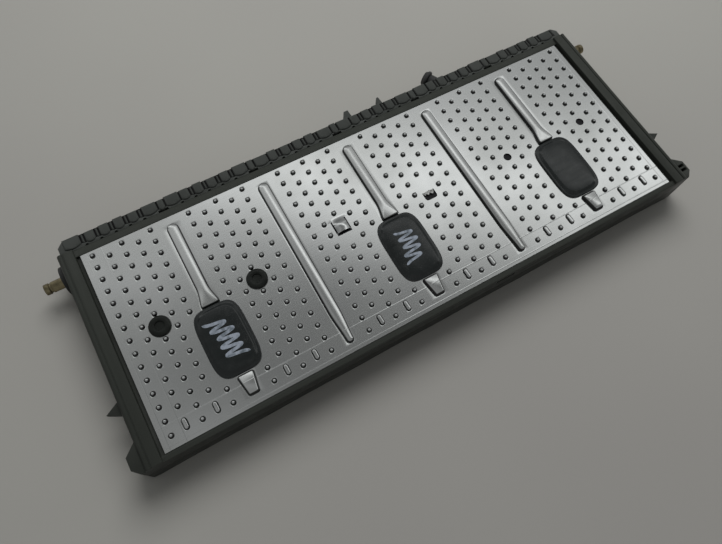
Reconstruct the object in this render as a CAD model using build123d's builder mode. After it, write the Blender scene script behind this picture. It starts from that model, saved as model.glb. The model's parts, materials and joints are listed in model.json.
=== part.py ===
"""EV battery module: flat pouch cells in a two-part plastic frame under stamped sheet covers.

X runs along the module, Y across it with the plain side at -Y, and Z up. The origin is
at the middle of the covers, on the plane that the module rests on. Millimetres.
"""

import os
from math import cos, radians, sin

from build123d import *

os.makedirs("parts", exist_ok=True)

# Module
height = 30.0
plate_length = 348.0
plate_width = 127.0
sheet = 0.8

# Pattern of the covers: bays of dimple columns between ribs
bay_pitch = 60.0
bay_count = 6
column_pitch = 8.9
row_pitch = 8.34
first_row_inset = 3.3
second_row_inset = 7.4
first_rows = 15
second_rows = 13
dimple_radius = 1.75
dimple_height = 1.1
dimple_sides = 4
dimple_draft = 32
boss_length = 7.1
boss_width = 3.3
boss_inset = 9.1

# Ribs
rib_height = 2.0
rib_width = 7.5
rib_inset = 5.4
rib_end_cut = 2.2
rib_flare_width = 11.0
rib_flare_length = 13.0
rib_nose_width = 4.6
rib_nose_length = 22.0
rib_toe_width = 6.7
rib_draft = 38

# Pads on every second rib
pad_width = 28.5
pad_length = 43.9
pad_corner = 8.0
pad_inset = 18.9
pad_rim = 2.0
pad_rim_height = 1.0
pad_draft = 35
pad_clearance = 0.3

# Features in the middle column of each bay
feature_row = 7
grommet_radius = 6.35
grommet_height = 1.9
grommet_bevel = 1.0
grommet_stem_radius = 4.0
grommet_recess_radius = 2.75
grommet_recess_depth = 0.9
grommet_clearance = 0.15
vent_hole_radius = 2.7
louvre_width = 8.3
louvre_length = 10.2
louvre_rise = 1.9
louvre_margin = 0.5
torn_width = 9.5
torn_length = 6.7
torn_lip_height = 1.3

# Frame
end_gap = 2.5
side_gap = 0.3
rail_width = 9.5
rail_round = 2.0
rail_groove_width = 0.8
rail_groove_depth = 0.5
rail_groove_inset = 3.4
front_rail = 3.5
back_band = 5.0
ledge_width = 6.0
seal_thickness = 1.0
lug_reach = 6.5
lug_slant = 5.6
lug_length = 17.0
lug_corner = 4.0
lug_wall = 1.2
lug_pocket_depth = 5.0
prong_base = 8.7
prong_reach = 8.0
prong_y = -30.0
prong_thickness = 3.0
prong_drop = 5.0
latch_x = 42.1
latch_width = 13.4
latch_height = 3.0
latch_depth = 1.2
latch_drop = 3.0
scallop_depth = 1.2
scallop_width = 52.0
scallop_reach = 2.0

# Rear cover
cover_length = 367.6
cover_depth = 8.3
cover_foot = 2.0
cover_flange = 3.0
cover_chamfer = 3.0
notch_radius = 1.2
notch_sides = 6
rib_notch_width = 6.4
rib_notch_depth = 1.6
fin_level = 18.0
fin_thickness = 5.0
fin_reach = 8.7
# Each fin in plan: left foot, left and right end of its tip, right foot
fin_plans = [(8.7, 14.0, 17.0, 17.4), (34.8, 39.4, 40.8, 41.5)]
slot_width = 2.6
slot_length = 4.6
slot_inset = 2.0
cover_boss_x = 85.3
cover_boss_radius = 6.3
cover_boss_length = 3.0
bolt_radius = 4.5
bolt_head_radius = 6.0
bolt_stem_length = 7.0
bolt_head_length = 3.0
bolt_lean = 30

# Terminals
stud_y = 59.5
stud_radius = 3.4
stud_shank_radius = 4.3
stud_length = 15.5
stud_groove_depth = 0.5
stud_groove_width = 1.2
stud_groove_inset = 3.0
stud_clearance = 0.2
stud_flange_radius = 6.0
stud_flange_thickness = 4.0
collar_radius = 9.0
collar_length = 3.5
terminal_pocket_side = 6.5
terminal_pocket_height = 20.0

# Cells and conductors
cell_end_room = 12.0
cell_centre_room = 7.0
cell_side_room = 3.5
seam_width = 1.5
seam_thickness = 0.4
tab_width = 40.0
foam_thickness = 2.0
busbar_thickness = 2.0
busbar_height = 18.0
busbar_end_room = 1.0
link_thickness = 2.0

# Worked out from the sizes above
mid_height = height / 2
plate_top = height - rib_height
plate_under = plate_top - sheet
seat_level = plate_under - seal_thickness
half_length = plate_length / 2 + end_gap + rail_width
front_y = -(plate_width / 2 + front_rail)
back_y = plate_width / 2 + back_band
cavity_x = plate_length / 2 - ledge_width
cavity_y = plate_width / 2 - ledge_width
busbar_x = cavity_x - stud_flange_thickness - busbar_thickness
cell_inner = cell_centre_room
cell_outer = cavity_x - cell_end_room
cell_half_width = cavity_y - cell_side_room
cell_thickness = (plate_under - (height - plate_under) - foam_thickness) / 2
bay_centres = [(i - (bay_count - 1) / 2) * bay_pitch for i in range(bay_count)]
rib_centres = [(i - bay_count / 2) * bay_pitch for i in range(1, bay_count)]
pad_rib_centres = rib_centres[0::2]
plain_rib_centres = rib_centres[1::2]
first_row_y = plate_width / 2 - first_row_inset
second_row_y = plate_width / 2 - second_row_inset
pad_y = -(plate_width / 2 - pad_inset) + pad_length / 2
feature_y = first_row_y - feature_row * row_pitch
grommet_centres = bay_centres[:2]
louvre_centre = bay_centres[2]
torn_centre = bay_centres[3]
vent_centres = bay_centres[4:]


def save(piece, name):
    """Labels a finished piece and writes it."""
    piece.part.label = name
    export_step(piece.part, f"parts/{name}.step")


def dimple_points(centre):
    """Centres of a bay's dimples, without those at the pads and at the middle feature."""
    points = []
    for k in range(-2, 3):
        x = centre + k * column_pitch
        rows, top = (second_rows, second_row_y) if k % 2 else (first_rows, first_row_y)
        for row in range(rows):
            y = top - row * row_pitch
            if not (under_pad(x, y) or at_feature(centre, k, row)):
                points.append((x, y))
    return points


def under_pad(x, y):
    reach_x = pad_width / 2 + dimple_radius
    reach_y = pad_length / 2 + dimple_radius
    return any(abs(x - rib) < reach_x for rib in pad_rib_centres) and abs(y - pad_y) < reach_y


def at_feature(centre, k, row):
    lanced = centre in (louvre_centre, torn_centre)
    return k == 0 and (row == feature_row or (lanced and row == feature_row - 1))


def boss_points(centre):
    """Centres of a bay's two oblong bosses, in its short columns."""
    y = -(plate_width / 2 - boss_inset)
    return [(centre + k * column_pitch, y) for k in (-1, 1)]


def rib_outline(x, back, widths):
    """Outline of a rib with cut corners at the back, as wide as the (y, width) pairs say."""
    half = widths[0][1] / 2
    end_half = half - rib_end_cut
    left = [(x - width / 2, y) for y, width in widths]
    right = [(x + width / 2, y) for y, width in reversed(widths)]
    with BuildSketch() as outline:
        with BuildLine():
            Polyline(
                (x + end_half, back),
                (x - end_half, back),
                (x - half, back - rib_end_cut),
                *left,
                *right,
                (x + half, back - rib_end_cut),
                close=True,
            )
        make_face()
    return outline.sketch


def plain_rib(x):
    """Outline of a rib with a narrowing nose."""
    back = plate_width / 2 - rib_inset
    front = -back
    widths = [(front + rib_nose_length, rib_width), (front, rib_nose_width)]
    return rib_outline(x, back, widths)


def rib_behind_pad(x):
    """Outline of the rib from its round back end to the flare at the pad."""
    back = plate_width / 2 - rib_inset
    front = pad_y + pad_length / 2 + pad_clearance
    widths = [(front + rib_flare_length, rib_width), (front, rib_flare_width)]
    return rib_outline(x, back, widths)


def rib_before_pad(x):
    """Outline of the short rib between the pad and the front edge."""
    back = pad_y - pad_length / 2 - pad_clearance
    front = -(plate_width / 2 - rib_inset)
    with BuildSketch() as outline:
        with BuildLine():
            Polyline(
                (x + rib_flare_width / 2, back),
                (x - rib_flare_width / 2, back),
                (x - rib_toe_width / 2, front),
                (x + rib_toe_width / 2, front),
                close=True,
            )
        make_face()
    return outline.sketch


# Top cover
top_ribs = [plain_rib(x) for x in plain_rib_centres]
for rib_x in pad_rib_centres:
    top_ribs += [rib_behind_pad(rib_x), rib_before_pad(rib_x)]
with BuildPart() as top_plate:
    with BuildSketch(Plane.XY.offset(plate_under)):
        Rectangle(plate_length, plate_width)
    extrude(amount=sheet)
    # Ribs are raised from the sheet and hollowed from below by the same draft
    for level, mode in ((plate_top, Mode.ADD), (plate_under, Mode.SUBTRACT)):
        with BuildSketch(Plane.XY.offset(level)):
            add(top_ribs)
        extrude(amount=rib_height, taper=rib_draft, mode=mode)
    with BuildSketch(Plane.XY.offset(plate_under)):
        with Locations(*[(x, feature_y) for x in grommet_centres]):
            Circle(grommet_stem_radius + grommet_clearance)
        with Locations(*[(x, feature_y) for x in vent_centres]):
            Circle(vent_hole_radius)
        with Locations((louvre_centre, feature_y + row_pitch - louvre_margin)):
            Rectangle(louvre_width + 2 * louvre_margin, louvre_length - 2 * louvre_margin)
        with Locations((torn_centre, feature_y)):
            Rectangle(torn_width, torn_length)
    extrude(amount=sheet, mode=Mode.SUBTRACT)
    # The louvre's hood rises from the back edge of its opening
    hood_back = feature_y + row_pitch + louvre_length / 2
    hood_front = hood_back - louvre_length
    with BuildSketch(Plane.YZ.offset(louvre_centre - louvre_width / 2)):
        with BuildLine():
            Polyline(
                (hood_back, plate_under),
                (hood_back, plate_top),
                (hood_front, plate_top + louvre_rise),
                (hood_front, plate_under + louvre_rise),
                close=True,
            )
        make_face()
    extrude(amount=louvre_width)
    # The torn opening keeps a ragged lip of sheet along its back edge
    with BuildSketch(Plane.XZ.offset(-(feature_y + torn_length / 2 + sheet))):
        with BuildLine():
            Polyline(
                (torn_centre - 0.4 * torn_width, plate_top),
                (torn_centre - 0.25 * torn_width, plate_top + torn_lip_height),
                (torn_centre, plate_top + 0.5 * torn_lip_height),
                (torn_centre + 0.2 * torn_width, plate_top + 0.9 * torn_lip_height),
                (torn_centre + 0.35 * torn_width, plate_top),
                close=True,
            )
        make_face()
    extrude(amount=sheet)
    # Dimples and bosses, a bay at a time; they only stand on the sheet, so nothing is merged
    for centre in bay_centres:
        with BuildSketch(Plane.XY.offset(plate_top)):
            with Locations(*dimple_points(centre)):
                RegularPolygon(dimple_radius, dimple_sides)
            with Locations(*boss_points(centre)):
                Rectangle(boss_width, boss_length)
        extrude(amount=dimple_height, taper=dimple_draft, clean=False)
save(top_plate, "top_plate")

# Bottom cover, facing down
with BuildPart() as bottom_plate:
    with BuildSketch(Plane.XY.offset(plate_under)):
        Rectangle(plate_length, plate_width)
    extrude(amount=sheet)
    for level, mode in ((plate_top, Mode.ADD), (plate_under, Mode.SUBTRACT)):
        with BuildSketch(Plane.XY.offset(level)) as straight_ribs:
            with Locations(*[(x, 0) for x in rib_centres]):
                Rectangle(rib_width, plate_width - 2 * rib_inset)
            chamfer(straight_ribs.vertices(), rib_end_cut)
        extrude(amount=rib_height, taper=rib_draft, mode=mode)
    mirror(about=Plane.XY.offset(mid_height), mode=Mode.REPLACE)
save(bottom_plate, "bottom_plate")

# Pads, each with a flat rim and a bevelled raised middle
for name, x in zip(("pad_left", "pad_middle", "pad_right"), pad_rib_centres):
    with BuildPart() as pad:
        with BuildSketch(Plane.XY.offset(plate_top)):
            with Locations((x, pad_y)):
                RectangleRounded(pad_width, pad_length, pad_corner)
        extrude(amount=pad_rim_height)
        with BuildSketch(Plane.XY.offset(plate_top + pad_rim_height)):
            with Locations((x, pad_y)):
                RectangleRounded(
                    pad_width - 2 * pad_rim, pad_length - 2 * pad_rim, pad_corner - pad_rim
                )
        extrude(amount=rib_height - pad_rim_height, taper=pad_draft)
    save(pad, name)

# Rubber plugs in the two left bays
grommet_top = plate_top + grommet_height
for name, x in zip(("grommet_outer", "grommet_inner"), grommet_centres):
    with BuildPart() as grommet:
        with BuildSketch(Plane.XZ):
            with BuildLine():
                Polyline(
                    (0, plate_under),
                    (grommet_stem_radius, plate_under),
                    (grommet_stem_radius, plate_top),
                    (grommet_radius, plate_top),
                    (grommet_radius, grommet_top - grommet_bevel),
                    (grommet_radius - grommet_bevel, grommet_top),
                    (grommet_recess_radius, grommet_top),
                    (grommet_recess_radius, grommet_top - grommet_recess_depth),
                    (0, grommet_top - grommet_recess_depth),
                    close=True,
                )
            make_face()
        revolve(axis=Axis.Z)
    grommet.part = grommet.part.moved(Location((x, feature_y, 0)))
    grommet.part.label = name
    export_step(grommet.part, f"parts/{name}.step")


def half_frame():
    """The upper half of the frame, as far as both halves share it."""
    with BuildPart() as half:
        with BuildSketch(Plane.XY.offset(mid_height)):
            with Locations((0, (front_y + back_y) / 2)):
                Rectangle(2 * half_length, back_y - front_y)
            for side in (-1, 1):
                with BuildLine():
                    Polyline(
                        (side * half_length, front_y),
                        (side * half_length, front_y + lug_length),
                        (side * (half_length + lug_reach), front_y + lug_length - lug_slant),
                        (side * (half_length + lug_reach), front_y + lug_corner),
                        (side * (half_length + lug_reach - lug_corner), front_y),
                        close=True,
                    )
                make_face()
        extrude(amount=plate_top - mid_height)
        with BuildSketch(Plane.XY.offset(plate_top)):
            rail_centre = half_length - rail_width / 2
            with Locations(*[(s * rail_centre, (front_y + back_y) / 2) for s in (-1, 1)]):
                Rectangle(rail_width, back_y - front_y)
        extrude(amount=rib_height)
        outer_edges = half.edges().filter_by(Axis.Y).group_by(Axis.Z)[-1].sort_by(Axis.X)
        fillet([outer_edges[0], outer_edges[-1]], rail_round)
        # Step line along each end rail
        groove_x = half_length - rail_groove_inset
        with BuildSketch(Plane.XY.offset(height)):
            with Locations(*[(s * groove_x, (front_y + back_y) / 2) for s in (-1, 1)]):
                Rectangle(rail_groove_width, back_y - front_y)
        extrude(amount=-rail_groove_depth, mode=Mode.SUBTRACT)
        # Seat of the cover, with a groove at each end of it
        with BuildSketch(Plane.XY.offset(seat_level)):
            Rectangle(plate_length + 2 * end_gap, plate_width + 2 * side_gap)
        extrude(amount=height - seat_level, mode=Mode.SUBTRACT)
        with BuildSketch(Plane.XY.offset(mid_height)):
            Rectangle(2 * cavity_x, 2 * cavity_y)
        extrude(amount=mid_height, mode=Mode.SUBTRACT)
        # Rooms for the terminal flanges, and the bores through the end walls
        room_length = cavity_x - busbar_x + busbar_end_room
        room_top = stud_y + terminal_pocket_side
        with BuildSketch(Plane.XY.offset(mid_height)):
            with Locations(
                *[(s * (cavity_x - room_length / 2), room_top / 2) for s in (-1, 1)]
            ):
                Rectangle(room_length, room_top)
        extrude(amount=terminal_pocket_height / 2, mode=Mode.SUBTRACT)
        with BuildSketch(Plane.YZ.offset(-half_length)):
            with Locations((stud_y, mid_height)):
                Circle(stud_shank_radius + stud_clearance)
        extrude(amount=2 * half_length, mode=Mode.SUBTRACT)
    return half.part


with BuildPart() as frame_upper:
    add(half_frame())
    # Small triangular prongs on the end faces
    with BuildSketch(Plane.XY.offset(plate_top - prong_drop)):
        for side in (-1, 1):
            with BuildLine():
                Polyline(
                    (side * half_length, prong_y - prong_base / 2),
                    (side * (half_length + prong_reach), prong_y),
                    (side * half_length, prong_y + prong_base / 2),
                    close=True,
                )
            make_face()
    extrude(amount=prong_thickness)
    # Latch window in the front face
    with BuildSketch(Plane.XZ.offset(-front_y)):
        with Locations((latch_x, plate_top - latch_drop - latch_height / 2)):
            Rectangle(latch_width, latch_height)
    extrude(amount=-latch_depth, mode=Mode.SUBTRACT)
    # The right lug is cored out from above, around one web
    core_length = lug_length - lug_slant - lug_corner - 2 * lug_wall
    with BuildSketch(Plane.XY.offset(plate_top)):
        core_x = half_length + lug_reach / 2
        core_y = front_y + lug_corner + lug_wall + core_length / 2
        with Locations((core_x, core_y)):
            Rectangle(lug_reach - 2 * lug_wall, core_length)
            Rectangle(lug_reach, lug_wall, mode=Mode.SUBTRACT)
    extrude(amount=-lug_pocket_depth, mode=Mode.SUBTRACT)
save(frame_upper, "frame_upper")

with BuildPart() as frame_lower:
    add(half_frame())
    mirror(about=Plane.XY.offset(mid_height), mode=Mode.REPLACE)
    # Shallow scallops along the lower front edge, one to a bay
    scallop_radius = ((scallop_width / 2) ** 2 + scallop_depth**2) / (2 * scallop_depth)
    with BuildSketch(Plane.XZ.offset(-front_y)):
        with Locations(
            *[(x, height - plate_top + scallop_depth - scallop_radius) for x in bay_centres]
        ):
            Circle(scallop_radius)
    extrude(amount=-scallop_reach, mode=Mode.SUBTRACT)
save(frame_lower, "frame_lower")

# Seals between the frame's seats and the covers
with BuildPart() as seal_top:
    with BuildSketch(Plane.XY.offset(seat_level)):
        Rectangle(plate_length, plate_width)
        Rectangle(2 * cavity_x, 2 * cavity_y, mode=Mode.SUBTRACT)
    extrude(amount=seal_thickness)
save(seal_top, "seal_top")

with BuildPart() as seal_bottom:
    add(seal_top.part)
    mirror(about=Plane.XY.offset(mid_height), mode=Mode.REPLACE)
save(seal_bottom, "seal_bottom")

# Rear cover: a strip with a scalloped inner edge, two fins and a boss
cover_back = back_y + cover_depth
with BuildPart() as rear_cover:
    with BuildSketch(Plane.XY.offset(cover_foot)) as cover_plan:
        with Locations((0, back_y + cover_depth / 2)):
            Rectangle(cover_length, cover_depth)
        outer_corners = cover_plan.vertices().group_by(Axis.Y)[-1]
        chamfer(outer_corners, cover_chamfer)
    extrude(amount=plate_top - cover_foot)
    with BuildSketch(Plane.XY.offset(plate_top)):
        columns = [x + k * column_pitch for x in bay_centres for k in range(-2, 3)]
        with Locations(*[(x, back_y) for x in columns]):
            RegularPolygon(notch_radius, notch_sides)
        with Locations(*[(x, back_y + rib_notch_depth / 2) for x in rib_centres]):
            Rectangle(rib_notch_width, rib_notch_depth)
        # Slots behind the notches leave a row of blocks
        with Locations(*[(x, back_y + slot_inset + slot_length / 2) for x in columns]):
            Rectangle(slot_width, slot_length)
    extrude(amount=-cover_flange, mode=Mode.SUBTRACT)
    with BuildSketch(Plane.XY.offset(fin_level)):
        for left_foot, tip_left, tip_right, right_foot in fin_plans:
            with BuildLine():
                Polyline(
                    (left_foot, cover_back),
                    (tip_left, cover_back + fin_reach),
                    (tip_right, cover_back + fin_reach),
                    (right_foot, cover_back),
                    close=True,
                )
            make_face()
    extrude(amount=fin_thickness)
    with BuildSketch(Plane.XZ.offset(-cover_back)):
        with Locations((cover_boss_x, fin_level)):
            Circle(cover_boss_radius)
    extrude(amount=-cover_boss_length)
save(rear_cover, "rear_cover")

# Capped bolt, leaning on the boss: it is made long and trimmed flat where it seats
lean = radians(bolt_lean)
bolt_seat = cover_back + cover_boss_length
with BuildPart() as rear_bolt:
    bolt_plane = Plane(
        origin=(cover_boss_x, bolt_seat, fin_level),
        x_dir=(0, 0, 1),
        z_dir=(-sin(lean), cos(lean), 0),
    )
    with BuildSketch(bolt_plane.offset(-bolt_radius)):
        Circle(bolt_radius)
    extrude(amount=bolt_radius + bolt_stem_length)
    with BuildSketch(bolt_plane.offset(bolt_stem_length)):
        Circle(bolt_head_radius)
    extrude(amount=bolt_head_length, taper=20)
    split(bisect_by=Plane.XZ.offset(-bolt_seat), keep=Keep.BOTTOM)
save(rear_bolt, "rear_bolt")

# Terminals at both ends: the shank ends flush with the collar, where a cable lug seats
for side, end in ((-1, "left"), (1, "right")):
    tip = half_length + stud_length
    groove = tip - stud_groove_inset
    with BuildPart() as stud:
        with BuildSketch():
            with BuildLine():
                Polyline(
                    (cavity_x - stud_flange_thickness, 0),
                    (cavity_x - stud_flange_thickness, stud_flange_radius),
                    (cavity_x, stud_flange_radius),
                    (cavity_x, stud_shank_radius),
                    (half_length + collar_length, stud_shank_radius),
                    (half_length + collar_length, stud_radius),
                    (groove - stud_groove_width, stud_radius),
                    (groove - stud_groove_width, stud_radius - stud_groove_depth),
                    (groove, stud_radius - stud_groove_depth),
                    (groove, stud_radius),
                    (tip, stud_radius),
                    (tip, 0),
                    close=True,
                )
            make_face()
        revolve(axis=Axis.X)
        if side < 0:
            mirror(about=Plane.YZ, mode=Mode.REPLACE)
    stud.part = stud.part.moved(Location((0, stud_y, mid_height)))
    stud.part.label = f"terminal_stud_{end}"
    export_step(stud.part, f"parts/terminal_stud_{end}.step")

    with BuildPart() as collar:
        with BuildSketch(Plane.YZ.offset(side * half_length)):
            with Locations((stud_y, mid_height)):
                Circle(collar_radius)
                Circle(stud_shank_radius + stud_clearance, mode=Mode.SUBTRACT)
        extrude(amount=side * collar_length)
    save(collar, f"terminal_collar_{end}")

    # Busbar against the flange of the stud
    with BuildPart() as busbar:
        busbar_back = stud_y + stud_flange_radius - busbar_end_room
        with BuildSketch(Plane.XY.offset(mid_height - busbar_height / 2)):
            with Locations(
                (side * (busbar_x + busbar_thickness / 2), (busbar_back - tab_width / 2) / 2)
            ):
                Rectangle(busbar_thickness, busbar_back + tab_width / 2)
        extrude(amount=busbar_height)
    save(busbar, f"busbar_{end}")

    # Foam between the two levels of cells
    cell_centre_x = side * (cell_inner + cell_outer) / 2
    cell_length = cell_outer - cell_inner
    with BuildPart() as foam:
        with BuildSketch(Plane.XY.offset(mid_height - foam_thickness / 2)):
            with Locations((cell_centre_x, 0)):
                Rectangle(cell_length, 2 * cell_half_width)
        extrude(amount=foam_thickness)
    save(foam, f"foam_{end}")

    for level, rise in (("lower", -1), ("upper", 1)):
        core_mid = mid_height + rise * (foam_thickness + cell_thickness) / 2
        with BuildPart() as cell:
            with BuildSketch(Plane.XY.offset(core_mid - cell_thickness / 2)):
                with Locations((cell_centre_x, 0)):
                    Rectangle(cell_length, 2 * cell_half_width)
            extrude(amount=cell_thickness)
            # Welded seam round the pouch, and a tab at each end of it
            with BuildSketch(Plane.XY.offset(core_mid - seam_thickness / 2)):
                with Locations((cell_centre_x, 0)):
                    Rectangle(cell_length + 2 * seam_width, 2 * (cell_half_width + seam_width))
                tab_inner = link_thickness / 2
                with Locations((side * (tab_inner + busbar_x) / 2, 0)):
                    Rectangle(busbar_x - tab_inner, tab_width)
            extrude(amount=seam_thickness)
        save(cell, f"cell_{end}_{level}")

# Series link between the left and right cells
with BuildPart() as centre_link:
    with BuildSketch(Plane.XY.offset(mid_height - busbar_height / 2)):
        Rectangle(link_thickness, tab_width)
    extrude(amount=busbar_height)
save(centre_link, "centre_link")
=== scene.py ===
"""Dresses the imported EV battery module: stamped covers, pads, plugs, moulded plastic and light."""

import json
import math
from collections import namedtuple

import bmesh
import bpy
import numpy as np
from mathutils import Matrix, Vector


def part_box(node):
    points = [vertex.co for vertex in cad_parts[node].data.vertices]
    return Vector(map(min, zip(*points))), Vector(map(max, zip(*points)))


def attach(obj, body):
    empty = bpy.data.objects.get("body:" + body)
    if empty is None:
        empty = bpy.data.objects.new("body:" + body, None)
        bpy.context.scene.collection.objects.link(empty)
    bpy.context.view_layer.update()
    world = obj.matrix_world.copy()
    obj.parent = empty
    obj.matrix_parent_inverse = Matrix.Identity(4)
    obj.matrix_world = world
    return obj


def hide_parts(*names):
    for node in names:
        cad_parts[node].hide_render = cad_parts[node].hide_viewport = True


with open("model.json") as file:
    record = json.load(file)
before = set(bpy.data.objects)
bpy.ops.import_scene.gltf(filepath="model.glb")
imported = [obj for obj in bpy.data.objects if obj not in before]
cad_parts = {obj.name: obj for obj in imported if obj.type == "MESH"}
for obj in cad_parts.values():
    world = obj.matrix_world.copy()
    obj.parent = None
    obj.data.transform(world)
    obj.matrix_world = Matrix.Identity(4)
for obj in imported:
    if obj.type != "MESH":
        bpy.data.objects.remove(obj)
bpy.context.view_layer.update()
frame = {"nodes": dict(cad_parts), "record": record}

MM = 0.001


def box_mm(name):
    """A node's lowest and highest corners, in millimetres."""
    return tuple(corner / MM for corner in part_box(name))


# Places taken from the frame, in millimetres
plate_low, plate_high = box_mm("bottom_plate")
top_low, top_high = box_mm("top_plate")
pad_boxes = {name: box_mm(name) for name in ("pad_left", "pad_middle", "pad_right")}
HALF_LENGTH = top_high.x
HALF_WIDTH = top_high.y
SHEET = 0.8
CREST = top_high.z
SHEET_UNDER = top_low.z
PLATE_TOP = SHEET_UNDER + SHEET
FLOOR_Z = plate_low.z

# Pattern of the covers
BAY_PITCH = 60.0
COLUMN_PITCH = 8.9
ROW_PITCH = 8.34
FIRST_ROW = HALF_WIDTH - 3.3
SECOND_ROW = HALF_WIDTH - 7.4
FIRST_ROWS = 15
SECOND_ROWS = 13
DIMPLE_RADIUS = 1.6
DIMPLE_HEIGHT = 1.3
BOSS_HALF = (1.65, 3.55)
BOSS_Y = -(HALF_WIDTH - 9.1)
RIB_HALF = 3.75
RIB_FLARE_HALF = 5.5
RIB_TOE_HALF = 3.35
RIB_NOSE_HALF = 2.3
RIB_END = HALF_WIDTH - 5.4
RIB_CORNER = 1.0
TOE_CORNER = 1.6
RIB_FLARE = 13.0
RIB_NOSE = 22.0
PAD_GAP = 0.3
# How far the patch of grid round each kind of raised form reaches past it
DIMPLE_MARGIN, BOSS_MARGIN, RIB_MARGIN = 0.3, 0.25, 0.8
# Forms that reach further to the sides get more grid lines through them, and so do short ones
WIDE_REACH, SHORT_FORM = 4.0, 10.0
FEATURE_Y = FIRST_ROW - 7 * ROW_PITCH
BAYS = [(i - 2.5) * BAY_PITCH for i in range(6)]
PAD_RIBS = [-2 * BAY_PITCH, 0.0, 2 * BAY_PITCH]
PLAIN_RIBS = [-BAY_PITCH, BAY_PITCH]
LOUVRE_X, TORN_X = BAYS[2], BAYS[3]
LOUVRE_HALF = 4.15
LOUVRE_FRONT = FEATURE_Y + ROW_PITCH - 5.1
LOUVRE_BACK = LOUVRE_FRONT + 10.2
LOUVRE_RISE = 1.9
LOUVRE_SLOPE = 5.5
LOUVRE_MOUTH = 1.5
TORN_HALF = (4.2, 3.1)
TORN_CORNER = 1.6
VENT_RADIUS = 2.7
PRESS_LINES_X = (-HALF_LENGTH + 3.0, -HALF_LENGTH + 12.3, HALF_LENGTH - 3.0)
PRESS_LINES_Y = (-HALF_WIDTH + 2.1, -HALF_WIDTH + 13.3)
PRESS_LINE_HALF = 0.35
PAD_LOW, PAD_HIGH = pad_boxes["pad_middle"]
PAD_CROWN = 1.92
PLUG_LIP = 2.3
PLUG_RECESS = 2.55
MARK_TURN = 0.7
MARK_UNEVEN = 0.16
BOLT_STEM = 4.5
BOLT_CAP = 6.0
BOLT_LEAN = math.radians(30)

# Scalloped blocks of the rear strip, and the width under which one counts as thin
BLOCK_SETBACK = 2.3
BLOCK_DEPTH = 6.6
BLOCK_GROOVE = 0.8
BLOCK_MARGIN = 3.0
MIDDLE_BLOCK = 4.8
THIN_BLOCK = 2.3
NARROW_BLOCK = 3.2


# ---------------------------------------------------------------- materials


def shader(name, colour, roughness, metallic=0.0):
    """A new material with its Principled shader, ready for more nodes."""
    material = bpy.data.materials.new(name)
    material.use_nodes = True
    tree = material.node_tree
    surface = tree.nodes["Principled BSDF"]
    surface.inputs["Base Color"].default_value = (*colour, 1.0)
    surface.inputs["Roughness"].default_value = roughness
    surface.inputs["Metallic"].default_value = metallic
    return material, tree, surface


def node(tree, kind, **settings):
    made = tree.nodes.new(kind)
    for key, value in settings.items():
        setattr(made, key, value)
    return made


def noise(tree, scale, detail=4.0, stretch=(1.0, 1.0, 1.0)):
    """Noise over the piece's own coordinates, drawn out along an axis by stretch."""
    place = node(tree, "ShaderNodeTexCoord")
    mapping = node(tree, "ShaderNodeMapping")
    mapping.inputs["Scale"].default_value = stretch
    texture = node(tree, "ShaderNodeTexNoise")
    texture.inputs["Scale"].default_value = scale
    texture.inputs["Detail"].default_value = detail
    tree.links.new(place.outputs["Object"], mapping.inputs["Vector"])
    tree.links.new(mapping.outputs["Vector"], texture.inputs["Vector"])
    return texture.outputs["Fac"]


def spread(tree, value, low, high, start=0.0, stop=1.0):
    """Maps a value from start..stop to low..high."""
    ramp = node(tree, "ShaderNodeMapRange")
    ramp.inputs["From Min"].default_value = start
    ramp.inputs["From Max"].default_value = stop
    ramp.inputs["To Min"].default_value = low
    ramp.inputs["To Max"].default_value = high
    tree.links.new(value, ramp.inputs["Value"])
    return ramp.outputs["Result"]


def math_node(tree, operation, first, second=None):
    made = node(tree, "ShaderNodeMath", operation=operation)
    for socket, value in zip(made.inputs, (first, second)):
        if isinstance(value, (int, float)):
            socket.default_value = value
        elif value is not None:
            tree.links.new(value, socket)
    return made.outputs["Value"]


def bump(tree, surface, height, distance, strength=1.0, below=None):
    """Adds a bump to the shader, on top of an earlier one if given."""
    made = node(tree, "ShaderNodeBump")
    made.inputs["Strength"].default_value = strength
    made.inputs["Distance"].default_value = distance
    tree.links.new(height, made.inputs["Height"])
    if below is not None:
        tree.links.new(below, made.inputs["Normal"])
    tree.links.new(made.outputs["Normal"], surface.inputs["Normal"])
    return made.outputs["Normal"]


def two_tone(tree, surface, factor, first, second):
    """Base colour that runs between two colours."""
    mix = node(tree, "ShaderNodeMix", data_type="RGBA")
    mix.inputs["A"].default_value = (*first, 1.0)
    mix.inputs["B"].default_value = (*second, 1.0)
    tree.links.new(factor, mix.inputs["Factor"])
    tree.links.new(mix.outputs["Result"], surface.inputs["Base Color"])
    return mix.outputs["Result"]


def plastic(name, dark, light, roughness, grain=900.0, depth=0.00006):
    """Moulded plastic: fine grain, soft blotches of colour, and paler edges as a painted highlight."""
    material, tree, surface = shader(name, dark, roughness)
    surface.inputs["Specular IOR Level"].default_value = 0.28
    blotches = noise(tree, 35.0)
    geometry = node(tree, "ShaderNodeNewGeometry")
    # Painted highlight: edges found by pointiness are made paler
    edge = spread(tree, geometry.outputs["Pointiness"], 0.0, 0.7, 0.51, 0.60)
    factor = math_node(tree, "MAXIMUM", spread(tree, blotches, 0.0, 0.6, 0.35, 0.75), edge)
    two_tone(tree, surface, factor, dark, light)
    rough = spread(tree, noise(tree, 90.0), roughness - 0.08, roughness + 0.12, 0.3, 0.7)
    tree.links.new(rough, surface.inputs["Roughness"])
    bump(tree, surface, noise(tree, grain, 6.0), depth, 0.5)
    return material


def line_mask(tree, value, place, half_width):
    """1 on a line across an axis, falling to 0 at half_width from it."""
    offset = math_node(tree, "ABSOLUTE", math_node(tree, "SUBTRACT", value, place))
    return spread(tree, offset, 1.0, 0.0, 0.0, half_width)


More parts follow.
